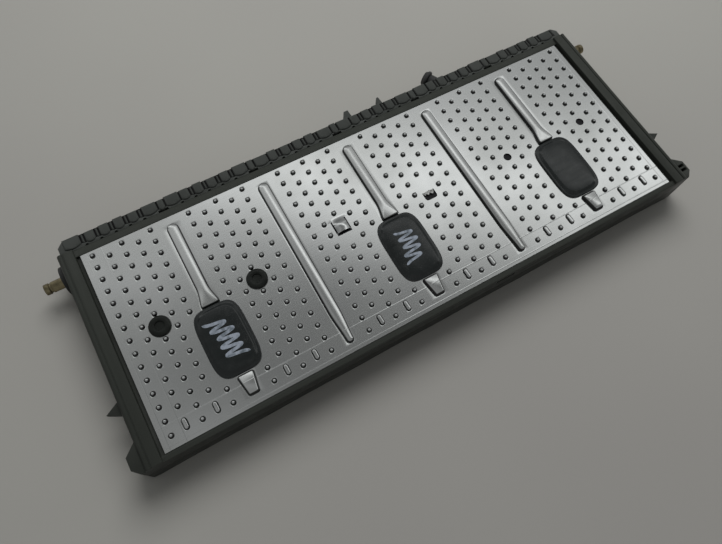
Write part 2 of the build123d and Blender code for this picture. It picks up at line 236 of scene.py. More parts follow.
def aluminium():
    """Rolled aluminium sheet with faint press lines, smudges, and painted shade that darkens its steep
    flanks.
    """
    material, tree, surface = shader("rolled_aluminium", (0.80, 0.80, 0.79), 0.25, 1.0)
    rolled = noise(tree, 60.0, 5.0, (0.6, 22.0, 1.0))
    fine = noise(tree, 500.0, 4.0, (0.5, 9.0, 1.0))
    smudges = noise(tree, 22.0, 5.0)
    clean = two_tone(
        tree, surface, spread(tree, smudges, 0.0, 1.0, 0.35, 0.75),
        (0.80, 0.81, 0.81), (0.68, 0.69, 0.68),
    )
    geometry = node(tree, "ShaderNodeNewGeometry")
    slope = node(tree, "ShaderNodeSeparateXYZ")
    tree.links.new(geometry.outputs["Normal"], slope.inputs["Vector"])
    upright = math_node(tree, "ABSOLUTE", slope.outputs["Z"])
    # Painted shade: the base colour turns near black where the normal is steep, on the flanks of
    # dimples, bosses and ribs
    painted_flank_shade = node(tree, "ShaderNodeMix", data_type="RGBA")
    painted_flank_shade.inputs["B"].default_value = (0.030, 0.032, 0.030, 1.0)
    tree.links.new(spread(tree, upright, 0.97, 0.0, 0.80, 0.968), painted_flank_shade.inputs["Factor"])
    tree.links.new(clean, painted_flank_shade.inputs["A"])
    tree.links.new(painted_flank_shade.outputs["Result"], surface.inputs["Base Color"])
    rough = math_node(
        tree, "ADD", spread(tree, smudges, 0.13, 0.22, 0.3, 0.75), spread(tree, fine, -0.03, 0.05)
    )
    tree.links.new(rough, surface.inputs["Roughness"])
    coordinates = node(tree, "ShaderNodeTexCoord")
    split = node(tree, "ShaderNodeSeparateXYZ")
    tree.links.new(coordinates.outputs["Object"], split.inputs["Vector"])
    x, y = split.outputs["X"], split.outputs["Y"]
    lines = 0.0
    for axis, places in ((x, PRESS_LINES_X), (y, PRESS_LINES_Y)):
        for place in places:
            line = line_mask(tree, axis, place * MM, PRESS_LINE_HALF * MM)
            lines = math_node(tree, "MAXIMUM", line, lines)
    normal = bump(tree, surface, rolled, 0.0002, 0.035)
    normal = bump(tree, surface, fine, 0.00005, 0.06, normal)
    bump(tree, surface, lines, 0.00008, 0.35, normal)
    return material


def rubber(name, colour, roughness):
    material, tree, surface = shader(name, colour, roughness)
    surface.inputs["Specular IOR Level"].default_value = 0.25
    paler = tuple(2.2 * part for part in colour)
    two_tone(tree, surface, spread(tree, noise(tree, 120.0), 0.0, 0.8, 0.4, 0.8), colour, paler)
    bump(tree, surface, noise(tree, 1400.0, 3.0), 0.00004, 0.4)
    return material


def pad_gloss():
    """Glossy black pad with faint streaks and dust."""
    material, tree, surface = shader("pad_gloss", (0.010, 0.012, 0.012), 0.2)
    dust = noise(tree, 260.0, 8.0)
    two_tone(
        tree, surface, spread(tree, dust, 0.0, 1.0, 0.52, 0.80),
        (0.008, 0.010, 0.010), (0.016, 0.018, 0.018),
    )
    streaks = noise(tree, 60.0, 4.0, (1.0, 5.0, 1.0))
    tree.links.new(spread(tree, streaks, 0.10, 0.24, 0.3, 0.7), surface.inputs["Roughness"])
    bump(tree, surface, noise(tree, 130.0, 3.0), 0.00012, 0.25)
    return material


def torn_metal():
    """Bright crumpled edge of torn sheet."""
    material, tree, surface = shader("torn_metal", (0.80, 0.80, 0.78), 0.28, 1.0)
    dents = noise(tree, 700.0, 3.0)
    two_tone(
        tree, surface, spread(tree, dents, 0.0, 1.0, 0.40, 0.70),
        (0.82, 0.82, 0.80), (0.35, 0.35, 0.34),
    )
    bump(tree, surface, dents, 0.0006, 0.8)
    return material


def turned_brass():
    material, tree, surface = shader("turned_brass", (0.50, 0.42, 0.24), 0.34, 1.0)
    tarnish = noise(tree, 180.0, 5.0)
    two_tone(
        tree, surface, spread(tree, tarnish, 0.0, 1.0, 0.35, 0.7),
        (0.34, 0.29, 0.18), (0.12, 0.10, 0.06),
    )
    rings = noise(tree, 900.0, 2.0, (9.0, 0.1, 0.1))
    bump(tree, surface, rings, 0.00008, 0.5)
    return material


def marker_paint():
    """Pale paint of a marker, thin in places."""
    material, tree, surface = shader("marker_paint", (0.22, 0.25, 0.30), 0.55)
    thin = spread(tree, noise(tree, 420.0, 6.0), 0.0, 1.0, 0.42, 0.68)
    two_tone(tree, surface, thin, (0.25, 0.28, 0.33), (0.10, 0.12, 0.14))
    return material


MATERIALS = {
    "cover_sheet": aluminium(),
    "frame_plastic": plastic("frame_plastic", (0.019, 0.021, 0.018), (0.032, 0.035, 0.030), 0.44),
    "cover_plastic": plastic("cover_plastic", (0.035, 0.038, 0.035), (0.060, 0.064, 0.060), 0.6),
    "cap_plastic": plastic("cap_plastic", (0.022, 0.023, 0.023), (0.05, 0.05, 0.05), 0.5),
    "collar_plastic": plastic("collar_plastic", (0.014, 0.015, 0.015), (0.04, 0.04, 0.04), 0.45),
    "pad_plastic": pad_gloss(),
    "plug_rubber": rubber("plug_rubber", (0.006, 0.007, 0.006), 0.34),
    "seal_rubber": rubber("seal_rubber", (0.015, 0.015, 0.015), 0.7),
    "stud_brass": turned_brass(),
    "conductor": turned_brass(),
    "pouch_foil": rubber("cell_film", (0.010, 0.010, 0.011), 0.6),
    "foam": rubber("foam", (0.05, 0.05, 0.055), 0.9),
}
SHADOW_GAP = rubber("shadow_gap", (0.006, 0.006, 0.006), 0.9)
MARKER_PAINT = marker_paint()
SLOT_OF = {part["node"]: part["material_slot"] for part in frame["record"]["subparts"]}

for name, item in frame["nodes"].items():
    item.data.materials.clear()
    item.data.materials.append(MATERIALS[SLOT_OF[name]])


# ------------------------------------------------------------------ helpers


def place_piece(name, mesh, slot, *nodes):
    """Puts a mesh in the scene as a piece that stands for CAD nodes."""
    piece = bpy.data.objects.new(name, mesh)
    bpy.context.scene.collection.objects.link(piece)
    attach(piece, "root")
    if nodes:
        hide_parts(*nodes)
    return piece


def apply_modifiers(piece):
    """Turns what the modifiers make into the piece's own mesh."""
    evaluated = piece.evaluated_get(bpy.context.evaluated_depsgraph_get())
    mesh = bpy.data.meshes.new_from_object(evaluated)
    piece.modifiers.clear()
    piece.data = mesh


def smooth_by_angle(mesh, degrees):
    """Smooth faces, with edges sharper than the angle kept sharp."""
    mesh.polygons.foreach_set("use_smooth", [True] * len(mesh.polygons))
    mesh.set_sharp_from_angle(angle=math.radians(degrees))


def softened(node_name, width, segments=2):
    """A copy of a CAD node with its edges rounded, standing for it."""
    mesh = frame["nodes"][node_name].data.copy()
    shape = bmesh.new()
    shape.from_mesh(mesh)
    bmesh.ops.remove_doubles(shape, verts=shape.verts, dist=0.002 * MM)
    bmesh.ops.dissolve_limit(
        shape, angle_limit=math.radians(1.0), verts=shape.verts, edges=shape.edges
    )
    shape.to_mesh(mesh)
    shape.free()
    slot = SLOT_OF[node_name]
    piece = place_piece(f"{node_name}_shell", mesh, slot, node_name)
    edges = piece.modifiers.new("edges", "BEVEL")
    edges.width = width * MM
    edges.segments = segments
    edges.limit_method = "ANGLE"
    edges.angle_limit = math.radians(35)
    edges.use_clamp_overlap = True
    apply_modifiers(piece)
    smooth_by_angle(piece.data, 40)
    return piece


def ease(value):
    """Smooth step from 0 to 1 of a numpy array."""
    value = np.clip(value, 0.0, 1.0)
    return value * value * (3 - 2 * value)


# ------------------------------------------------------------------- covers


def dimple_centres(with_features):
    """Centres of the dimples; the top cover leaves some out at its pads and middle features."""
    points = []
    for centre in BAYS:
        for k in range(-2, 3):
            x = centre + k * COLUMN_PITCH
            rows, top = (SECOND_ROWS, SECOND_ROW) if k % 2 else (FIRST_ROWS, FIRST_ROW)
            for row in range(rows):
                y = top - row * ROW_PITCH
                lanced = centre in (LOUVRE_X, TORN_X)
                at_feature = k == 0 and (row == 7 or (lanced and row == 6))
                at_pad = any(abs(x - rib) < PAD_HIGH.x + DIMPLE_RADIUS for rib in PAD_RIBS) and (
                    PAD_LOW.y - DIMPLE_RADIUS < y < PAD_HIGH.y + DIMPLE_RADIUS
                )
                if not (with_features and (at_feature or at_pad)):
                    points.append((x, y))
    return points


def boss_centres():
    return [(x + k * COLUMN_PITCH, BOSS_Y) for x in BAYS for k in (-1, 1)]


def grid_lines(half, wanted, widest=3.2, nearest=0.16):
    """Grid lines across a cover: at the wanted places, with more where the gap is wide."""
    lines = sorted(value for value in {-half, half, *wanted} if abs(value) <= half)
    kept = [lines[0]]
    for line in lines[1:]:
        gap = line - kept[-1]
        if gap < nearest:
            continue
        pieces = math.ceil(gap / widest)
        kept += [line - gap * (pieces - part) / pieces for part in range(1, pieces + 1)]
    kept[-1] = half
    return np.array(kept)


# A raised form of the sheet: its place, its half width and corner radius along y, how far the
# patch of grid that it replaces reaches past it, and its rings from the foot to the top
Raised = namedtuple("Raised", "x front back half_at corner_at margin rings")
RISE = CREST - PLATE_TOP


def flare(y):
    """Half width of a rib that widens towards the pad in front of it."""
    return RIB_HALF + (RIB_FLARE_HALF - RIB_HALF) * ease((PAD_HIGH.y + RIB_FLARE - y) / RIB_FLARE)


def flare_corner(y):
    """Round across where the rib is straight, and a flat top with small corners at the pad."""
    return RIB_CORNER + (RIB_HALF - RIB_CORNER) * ease((y - PAD_HIGH.y) / (0.8 * RIB_FLARE))


def toe(y):
    """Half width of the short rib in front of a pad, which narrows forwards."""
    share = np.clip((PAD_LOW.y - y) / (PAD_LOW.y + RIB_END), 0, 1)
    return RIB_FLARE_HALF + (RIB_TOE_HALF - RIB_FLARE_HALF) * share


def nose(y):
    """Half width of a plain rib, which narrows at its front end."""
    return RIB_HALF + (RIB_NOSE_HALF - RIB_HALF) * ease((-RIB_END + RIB_NOSE - y) / RIB_NOSE)


def dome(share):
    """Height of a dimple at a share of its radius: part of a ball."""
    ball = (DIMPLE_RADIUS**2 + DIMPLE_HEIGHT**2) / (2 * DIMPLE_HEIGHT)
    return DIMPLE_HEIGHT - ball + math.sqrt(ball**2 - (share * DIMPLE_RADIUS) ** 2)


# Rings: share of the corner radius and height. Each form stands in a small moat
MOAT = [(1.15, 0.0), (1.02, -0.07)]
DIMPLE_RINGS = MOAT + [(share, dome(share)) for share in (0.96, 0.84, 0.64, 0.4, 0.16)]
BOSS_RINGS = MOAT + [(0.82, 0.62), (0.62, 0.88), (0.42, 0.98), (0.2, 1.0)]
RIB_RINGS = [(1.06, 0.0), (1.0, -0.05)] + [
    (share, RISE * height)
    for share, height in (
        (0.95, 0.30), (0.875, 0.60), (0.80, 0.74), (0.68, 0.83), (0.5, 0.91), (0.28, 0.975), (0.07, 1.0)
    )
]
TOE_RINGS = [(1.2, 0.0), (1.0, -0.05)] + [
    (share, RISE * height) for share, height in ((0.85, 0.4), (0.6, 0.75), (0.3, 0.94), (0.08, 1.0))
]


def same_all_along(size):
    """A form's half width or corner radius that doesn't change along y."""
    return lambda along: size + 0 * along


def raised_forms(is_top):
    """Dimples, bosses and ribs of a cover."""
    dimple = same_all_along(DIMPLE_RADIUS)
    boss = same_all_along(BOSS_HALF[0])
    forms = [
        Raised(
            x, y - DIMPLE_RADIUS, y + DIMPLE_RADIUS, dimple, dimple, DIMPLE_MARGIN, DIMPLE_RINGS
        )
        for x, y in dimple_centres(is_top)
    ]
    forms += [
        Raised(x, y - BOSS_HALF[1], y + BOSS_HALF[1], boss, boss, BOSS_MARGIN, BOSS_RINGS)
        for x, y in boss_centres()
    ]
    if not is_top:
        straight = same_all_along(RIB_HALF)
        forms += [
            Raised(x, -RIB_END, RIB_END, straight, straight, RIB_MARGIN, RIB_RINGS)
            for x in sorted(PAD_RIBS + PLAIN_RIBS)
        ]
        return forms
    toe_corner = same_all_along(TOE_CORNER)
    for x in PAD_RIBS:
        forms += [
            Raised(x, PAD_HIGH.y + PAD_GAP, RIB_END, flare, flare_corner, RIB_MARGIN, RIB_RINGS),
            Raised(x, -RIB_END, PAD_LOW.y - PAD_GAP, toe, toe_corner, RIB_MARGIN, TOE_RINGS),
        ]
    forms += [Raised(x, -RIB_END, RIB_END, nose, nose, RIB_MARGIN, RIB_RINGS) for x in PLAIN_RIBS]
    return forms


def widest_half(form):
    return float(form.half_at(np.linspace(form.front, form.back, 20)).max())


def louvre_height(x, y):
    """Height of the louvre's hood over the sheet's flat, in millimetres."""
    rise = ease((LOUVRE_BACK - y) / LOUVRE_SLOPE) * (1 - 0.2 * ease((LOUVRE_FRONT + 4 - y) / 4))
    crown = 1 - 0.55 * (np.abs(x - LOUVRE_X) / LOUVRE_HALF) ** 2
    on_louvre = (np.abs(x - LOUVRE_X) <= LOUVRE_HALF) & (y >= LOUVRE_FRONT)
    return np.where(on_louvre, LOUVRE_RISE * rise * crown, 0.0)


def ring_points(form, across, along, share, height):
    """A ring of a raised form, with a point in line with each point of its border."""
    ends = np.array([form.front, form.back])
    front_corner, back_corner = form.corner_at(ends)
    middle = np.clip(along, form.front + front_corner, form.back - back_corner)
    corner = form.corner_at(middle)
    core = np.maximum(form.half_at(middle) - corner, 0)
    beside = np.clip(across, -core, core)
    away = np.hypot(across - beside, along - middle)
    step = corner * share / away
    level = np.full(len(across), PLATE_TOP + height)
    x = form.x + beside + (across - beside) * step
    return np.stack((x, middle + (along - middle) * step, level), axis=-1)


def patch_of(form):
    """Left, right, front and back of the rectangle of grid that a form replaces."""
    reach = widest_half(form) + form.margin
    return form.x - reach, form.x + reach, form.front - form.margin, form.back + form.margin


def cover_grid(forms, is_top):
    """Grid lines in x and in y: round each form's patch, through it, and at the louvre."""
    x_wanted, y_wanted = [], []
    for form in forms:
        left, right, front, back = patch_of(form)
        reach = widest_half(form) + form.margin
        parts = (0.2, 0.45, 0.72) if reach > WIDE_REACH else (0.5,)
        x_wanted += [left, form.x, right]
        x_wanted += [form.x + side * part * reach for side in (-1, 1) for part in parts]
        y_wanted += [front, back]
        if back - front < SHORT_FORM:
            y_wanted += [front + (back - front) * part for part in (0.25, 0.5, 0.75)]
    if is_top:
        x_wanted += [LOUVRE_X + side * (LOUVRE_HALF + o) for side in (-1, 1) for o in (-0.01, 0.17)]
        x_wanted += [LOUVRE_X + side * part for side in (-1, 1) for part in (1.0, 2.1, 3.2)]
        y_wanted += [LOUVRE_FRONT + 0.01, LOUVRE_FRONT - 0.17, LOUVRE_BACK]
    return grid_lines(HALF_LENGTH, x_wanted), grid_lines(HALF_WIDTH, y_wanted)


def cover_mesh(name, is_top):
    """Closed mesh of a stamped cover: a fine skin with its raised forms over a flat side."""
    forms = raised_forms(is_top)
    xs, ys = cover_grid(forms, is_top)
    grid_x, grid_y = np.meshgrid(xs, ys, indexing="ij")
    grid_z = PLATE_TOP + (louvre_height(grid_x, grid_y) if is_top else 0 * grid_x)
    points = np.stack((grid_x, grid_y, grid_z), axis=-1).reshape(-1, 3)
    index = np.arange(grid_x.size).reshape(grid_x.shape)
    quads = np.stack((index[:-1, :-1], index[1:, :-1], index[1:, 1:], index[:-1, 1:]), axis=-1)
    kept = np.ones(quads.shape[:2], dtype=bool)
    blocks, faces, count = [points], [], len(points)
    for form in forms:
        left, right, front, back = patch_of(form)
        i0, i1 = (int(np.abs(xs - x).argmin()) for x in (left, right))
        j0, j1 = (int(np.abs(ys - y).argmin()) for y in (front, back))
        kept[i0:i1, j0:j1] = False
        border = [*index[i0:i1, j0], *index[i1, j0:j1], *index[i1:i0:-1, j1], *index[i0, j1:j0:-1]]
        across, along = points[border, 0] - form.x, points[border, 1]
        outer = border
        for share, height in form.rings:
            blocks.append(ring_points(form, across, along, share, height))
            inner = list(range(count, count + len(border)))
            count += len(border)
            faces += [
                (outer[i - 1], outer[i], inner[i], inner[i - 1]) for i in range(len(border))
            ]
            outer = inner
        faces.append(tuple(outer))
    faces += [tuple(face) for face in quads[kept]]
    rim = [*index[:-1, 0], *index[-1, :-1], *index[:0:-1, -1], *index[0, :0:-1]]
    under = points[rim].copy()
    under[:, 2] = SHEET_UNDER
    blocks.append(under)
    ring = list(range(count, count + len(rim)))
    faces += [(rim[i - 1], ring[i - 1], ring[i], rim[i]) for i in range(len(rim))]
    faces.append(tuple(ring[::-1]))
    vertices = np.vstack(blocks)
    # The bottom cover is the same sheet turned over
    if not is_top:
        vertices[:, 2] = plate_high.z + SHEET_UNDER - vertices[:, 2]
        faces = [face[::-1] for face in faces]
    mesh = bpy.data.meshes.new(name)
    mesh.from_pydata((vertices * MM).tolist(), [], [[int(i) for i in face] for face in faces])
    drop_loose_points(mesh)
    mesh.materials.append(MATERIALS["cover_sheet"])
    mesh.materials.append(SHADOW_GAP)
    if is_top:
        paint_louvre_shade(mesh)
    smooth_by_angle(mesh, 38)
    return mesh


def drop_loose_points(mesh):
    shape = bmesh.new()
    shape.from_mesh(mesh)
    loose = [vertex for vertex in shape.verts if not vertex.link_faces]
    bmesh.ops.delete(shape, geom=loose, context="VERTS")
    shape.to_mesh(mesh)
    shape.free()


def paint_louvre_shade(mesh):
    """The steep front and sides of the hood lie at its open slots; they get the dark shadow material as
    painted shade.
    """
    for face in mesh.polygons:
        centre = face.center / MM
        near = abs(centre.x - LOUVRE_X) < LOUVRE_HALF + 0.4
        along = LOUVRE_FRONT - 0.4 < centre.y < LOUVRE_BACK
        # Painted shade: steep faces of the hood get the dark shadow material
        if near and along and face.normal.z < 0.35:
            face.material_index = 1


def cut_openings(cover):
    """Cuts the two vent holes and the torn opening through the top cover."""
    shape = bmesh.new()
    depth = 4 * SHEET
    for x in BAYS[4:]:
        at = Matrix.Translation(Vector((x, FEATURE_Y, PLATE_TOP)) * MM)
        bmesh.ops.create_cone(
            shape, cap_ends=True, segments=40, radius1=VENT_RADIUS * MM,
            radius2=VENT_RADIUS * MM, depth=depth * MM, matrix=at,
        )
    # Slots round the louvre's hood, where it was lanced from the sheet
    beside, slit, slit_length = LOUVRE_HALF + 0.5, 0.7, 8.4
    slots = [(LOUVRE_X, LOUVRE_FRONT - LOUVRE_MOUTH / 2, 2 * beside + 0.4, LOUVRE_MOUTH)]
    slots += [
        (LOUVRE_X + side * beside, LOUVRE_FRONT + slit_length / 2 + 0.2, slit, slit_length)
        for side in (-1, 1)
    ]
    for x, y, size_x, size_y in slots:
        at = Matrix.Translation(Vector((x, y, PLATE_TOP)) * MM)
        size = Matrix.Diagonal((size_x * MM, size_y * MM, depth * MM, 1.0))
        bmesh.ops.create_cube(shape, size=1.0, matrix=at @ size)
    half_x, half_y = TORN_HALF
    corner, middle = TORN_CORNER, 0.3 * TORN_CORNER
    outline = [
        (-half_x, half_y), (-half_x, -half_y + corner), (-half_x + middle, -half_y + middle),
        (-half_x + corner, -half_y), (half_x - corner, -half_y),
        (half_x - middle, -half_y + middle), (half_x, -half_y + corner), (half_x, half_y),
        (0.5 * half_x, half_y - 0.5), (0.2 * half_x, half_y + 0.3), (-0.3 * half_x, half_y - 0.7),
    ]
    levels = (PLATE_TOP - depth / 2, PLATE_TOP + depth / 2)
    rings = [
        [
            shape.verts.new(Vector((TORN_X + x, FEATURE_Y + y, level)) * MM)
            for x, y in outline
        ]
        for level in levels
    ]
    count = len(outline)
    for i in range(count):
        after = (i + 1) % count
        shape.faces.new((rings[0][i], rings[0][after], rings[1][after], rings[1][i]))
    shape.faces.new(rings[0][::-1])
    shape.faces.new(rings[1])
    bmesh.ops.recalc_face_normals(shape, faces=shape.faces)
    mesh = bpy.data.meshes.new("cutter")
    shape.to_mesh(mesh)
    shape.free()
    cutter = bpy.data.objects.new("cutter", mesh)
    bpy.context.scene.collection.objects.link(cutter)
    cut = cover.modifiers.new("openings", "BOOLEAN")
    cut.operation = "DIFFERENCE"
    cut.object = cutter
    cut.solver = "EXACT"
    apply_modifiers(cover)
    bpy.data.objects.remove(cutter)


def torn_lip():
    """Ragged strip of sheet bent up along the back of the torn opening."""
    # Place along the opening and height of each point of the ragged edge
    profile = [(-4.0, 0.2), (-3.1, 1.2), (-2.2, 0.6), (-0.9, 1.4), (0.4, 0.7), (1.9, 1.7), (3.7, 0.4)]
    back = FEATURE_Y + TORN_HALF[1]
    points, faces = [], []
    for x, rise in profile:
        for drop, forward in ((0.0, 0.0), (0.5 * rise, -0.6 - 1.7 * rise)):
            for thick in (0.0, 0.35):
                points.append(
                    Vector((TORN_X + x, back + forward + thick, PLATE_TOP - 0.1 + drop)) * MM
                )
    for i in range(len(profile) - 1):
        a, b = 4 * i, 4 * (i + 1)
        faces += [
            (a, b, b + 2, a + 2), (a + 1, a + 3, b + 3, b + 1),
            (a + 2, b + 2, b + 3, a + 3), (a, a + 1, b + 1, b),
        ]
    last = 4 * (len(profile) - 1)
    faces += [(0, 2, 3, 1), (last, last + 1, last + 3, last + 2)]
    mesh = bpy.data.meshes.new("torn_lip")
    mesh.from_pydata(points, [], faces)
    mesh.materials.append(torn_metal())
    place_piece("torn_lip", mesh, "cover_sheet")


# --------------------------------------------------------------- small parts


def barrel_outline(half_x, half_y, steps=72, power=4.2):
    """Closed outline between a rectangle and an ellipse, with sides that bulge a little."""
    points = []
    for step in range(steps):
        angle = 2 * math.pi * step / steps
        across, along = math.cos(angle), math.sin(angle)
        x = half_x * math.copysign(abs(across) ** (2 / power), across)
        y = half_y * math.copysign(abs(along) ** (2 / power), along)
        points.append((x, y))
    return points


def loft(name, rings, material):
    """Closed mesh through rings of as many points each, from the lowest to the highest."""
    count = len(rings[0])
    points = [Vector(point) * MM for ring in rings for point in ring]
    faces = []
    for level in range(len(rings) - 1):
        for i in range(count):
            after = (i + 1) % count
            low, high = level * count, (level + 1) * count
            faces.append((low + i, low + after, high + after, high + i))
    faces.append(tuple(range(count))[::-1])
    start = (len(rings) - 1) * count
    faces.append(tuple(range(start, start + count)))
    mesh = bpy.data.meshes.new(name)
    mesh.from_pydata(points, [], faces)
    mesh.materials.append(material)
    return mesh


def build_pad(name):
    """Pad with a flat rim and a bevelled, slightly crowned middle."""
    low, high = pad_boxes[name]
    centre = (low + high) / 2
    half_x, half_y = (high.x - low.x) / 2, (high.y - low.y) / 2
    # Inset from the outline and height over the pad's foot
    steps = [
        (0.35, 0.0), (0.1, 0.15), (0.1, 0.75), (0.35, 0.98), (0.7, 1.02), (1.7, 1.02),
        (2.05, 1.12), (2.5, 1.6), (2.95, 1.82), (3.6, PAD_CROWN), (8.5, PAD_CROWN),
    ]
    rings = []
    for inset, rise in steps:
        outline = barrel_outline(half_x - inset, half_y - inset)
        rings.append([(centre.x + x, centre.y + y, low.z + rise) for x, y in outline])
    mesh = loft(name, rings, MATERIALS["pad_plastic"])
    smooth_by_angle(mesh, 50)
    place_piece(f"{name}_cap", mesh, "pad_plastic", name)


def turned(profile, foot, axis, first, around):
    """Rings of points about an axis, for radii at distances along it, starting towards first."""
    second = axis.cross(first)
    angles = [2 * math.pi * step / around for step in range(around)]
    return [
        [
            foot + axis * along + (first * math.cos(angle) + second * math.sin(angle)) * radius
            for angle in angles
        ]
        for radius, along in profile
    ]


def build_plug(name):
    """Rubber plug: a low dome with a rounded recess in its middle."""
    low, high = box_mm(name)
    centre = (low + high) / 2
    radius = (high.x - low.x) / 2
    top = high.z
    # Radius and level, from the foot of the stem over the lip to the middle of the recess
    profile = [
        (radius - PLUG_LIP, low.z), (radius - PLUG_LIP, PLATE_TOP + 0.02),
        (radius - 0.15, PLATE_TOP + 0.02), (radius, PLATE_TOP + 0.2), (radius, top - 1.1),
        (radius - 0.35, top - 0.5), (radius - 1.0, top - 0.12), (radius - 1.7, top),
        (PLUG_RECESS + 0.75, top), (PLUG_RECESS + 0.35, top - 0.15), (PLUG_RECESS + 0.1, top - 0.5),
        (PLUG_RECESS, top - 0.9), (PLUG_RECESS - 1.25, top - 1.0), (0.3, top - 0.95),
    ]
    middle = Vector((centre.x, centre.y, 0.0))
    rings = turned(profile, middle, Vector((0, 0, 1)), Vector((1, 0, 0)), 48)
    mesh = loft(name, rings, MATERIALS["plug_rubber"])
    smooth_by_angle(mesh, 50)
    place_piece(f"{name}_head", mesh, "plug_rubber", name)


def zigzag(turns, across, top, bottom, lean):
    """A stroke that runs to and fro down a pad, with a rounded turn at each side."""
    points = []
    for turn in range(turns):
        share = turn / (turns - 1)
        side = 1 if turn % 2 else -1
        uneven = 1 - MARK_UNEVEN * (1 - math.cos(2.3 * turn))
        x = side * across * uneven + lean * (share - 0.5)
        y = top + (bottom - top) * share
        points += [(x, y + MARK_TURN), (x, y - MARK_TURN)]
    return points


def paint_mark(pad_name, stroke, width):
    """A flat stroke of a paint marker on a pad, which says nothing."""
    low, high = pad_boxes[pad_name]
    centre = (low + high) / 2
    level = (low.z + PAD_CROWN + 0.03) * MM
    curve = bpy.data.curves.new(f"{pad_name}_mark", "CURVE")
    curve.dimensions = "3D"
    curve.bevel_depth = width / 2 * MM
    curve.bevel_resolution = 3
    spline = curve.splines.new("NURBS")
    spline.points.add(len(stroke) - 1)
    for point, (x, y) in zip(spline.points, stroke):
        point.co = ((centre.x + x) * MM, (centre.y + y) * MM, 0.0, 1.0)
    spline.order_u = 3
    spline.use_endpoint_u = True
    spline.resolution_u = 8
    drawn = bpy.data.objects.new("stroke", curve)
    bpy.context.scene.collection.objects.link(drawn)
    mesh = bpy.data.meshes.new_from_object(
        drawn.evaluated_get(bpy.context.evaluated_depsgraph_get())
    )
    bpy.data.objects.remove(drawn)
    # The round stroke is pressed flat on the pad
    for vertex in mesh.vertices:
        vertex.co.z = level + 0.02 * vertex.co.z
    mesh.materials.clear()
    mesh.materials.append(MARKER_PAINT)
    smooth_by_angle(mesh, 60)
    place_piece(f"{pad_name}_mark", mesh, "pad_plastic")


def build_bolt():
    """Capped bolt that leans away from the strip: a wide stem under a rounded flange."""
    low, high = box_mm("rear_bolt")
    axis = Vector((-math.sin(BOLT_LEAN), math.cos(BOLT_LEAN), 0.0))
    foot_x = high.x - BOLT_STEM / math.cos(BOLT_LEAN)
    foot = Vector((foot_x, low.y, (low.z + high.z) / 2))
    neck, crown = BOLT_STEM - 0.35, BOLT_CAP - 0.95
    # Radius and distance along the bolt, from inside the boss to the top of the cap
    profile = [
        (BOLT_STEM, -2.8), (BOLT_STEM, 4.9), (neck, 5.1), (neck, 5.8), (BOLT_CAP - 0.3, 5.9),
        (BOLT_CAP, 6.2), (BOLT_CAP, 7.3), (BOLT_CAP - 0.25, 7.9), (BOLT_CAP - 0.7, 8.1),
        (crown, 8.5), (crown - 0.25, 9.2), (crown - 0.85, 9.7), (crown - 2.05, 9.95), (0.4, 10.0),
    ]
    mesh = loft(
        "rear_bolt", turned(profile, foot, axis, Vector((0, 0, 1)), 40), MATERIALS["cap_plastic"]
    )
    smooth_by_angle(mesh, 50)
    place_piece("rear_bolt_cap", mesh, "cap_plastic", "rear_bolt")


def block_spans(low_x, high_x):
    """Ends of the blocks: three where the notches lie far apart, otherwise one and a thin one."""
    columns = [x + k * COLUMN_PITCH for x in BAYS for k in range(-2, 3)]
    spans = []
    for left, right in zip([low_x + BLOCK_MARGIN] + columns, columns + [high_x - BLOCK_MARGIN]):
        if right - left > 1.5 * COLUMN_PITCH:
            first, last = (
                (left + right) / 2 + side * MIDDLE_BLOCK / 2 for side in (-1, 1)
            )
            spans += [(left, first), (first, last), (last, right)]
        elif right - left > BLOCK_MARGIN:
            spans += [(left, right - THIN_BLOCK), (right - THIN_BLOCK, right)]
    return spans


def add_block(shape, left, right, number, front, ground):
    """One block: bulging in front, with rounded upper edges. Every third one is deepest."""
    half = (right - left - BLOCK_GROOVE) / 2
    if right - left < NARROW_BLOCK:
        bulge, short, top, last_inset = 0.3, 1.0, 0.7, 0.6
    else:
        bulge, short, top, last_inset = 1.4, 0.3 * (number % 3), 1.05, 1.4
    back = BLOCK_DEPTH - short
    shares = [part / 4 - 1 for part in range(9)]
    edge = [(share * half, -bulge * (1 - share**2)) for share in shares]
    outline = edge + [(half, back), (-half, back)]
    rings = []
    # How far each ring lies inside the outline, and how far below the block's top
    for inset, drop in ((0.0, 2.4), (0.0, 0.9), (0.2, 0.45), (0.45, 0.18), (last_inset, 0.0)):
        ring = []
        for x, y in outline:
            inward = inset if y < back / 2 else -inset
            point = Vector((
                (left + right) / 2 + (1 - inset / half) * x, front + y + inward, ground + top - drop
            ))
            ring.append(shape.verts.new(point * MM))
        rings.append(ring)
    for lower, upper in zip(rings, rings[1:]):
        for i in range(len(outline)):
            after = (i + 1) % len(outline)
            shape.faces.new((lower[i], lower[after], upper[after], upper[i]))
    shape.faces.new(rings[0][::-1])
    shape.faces.new(rings[-1])


def cover_blocks():
    """Row of scalloped blocks along the rear cover, over a thin dark slab of painted shade in their
    grooves.
    """
    low, high = box_mm("rear_cover")
    front = box_mm("frame_upper")[1].y + BLOCK_SETBACK
    shape = bmesh.new()
    for number, (left, right) in enumerate(block_spans(low.x, high.x)):
        add_block(shape, left, right, number, front, high.z)
    # Painted shade: a thin dark slab under the blocks makes their grooves look deep and black
    size = Vector((high.x - low.x - 7.0, BLOCK_DEPTH - 0.6, 0.1))
    centre = Vector((0.0, front + size.y / 2, high.z + 0.04))
    at = Matrix.Translation(centre * MM) @ Matrix.Diagonal((*(size * MM), 1.0))
    painted_groove_shade = bmesh.ops.create_cube(shape, size=1.0, matrix=at)
    for face in {face for vertex in painted_groove_shade["verts"] for face in vertex.link_faces}:
        face.material_index = 1
    mesh = bpy.data.meshes.new("cover_blocks")
    shape.to_mesh(mesh)
    shape.free()
    mesh.materials.append(MATERIALS["cover_plastic"])
    mesh.materials.append(SHADOW_GAP)
    smooth_by_angle(mesh, 35)
    place_piece("cover_blocks", mesh, "cover_plastic")


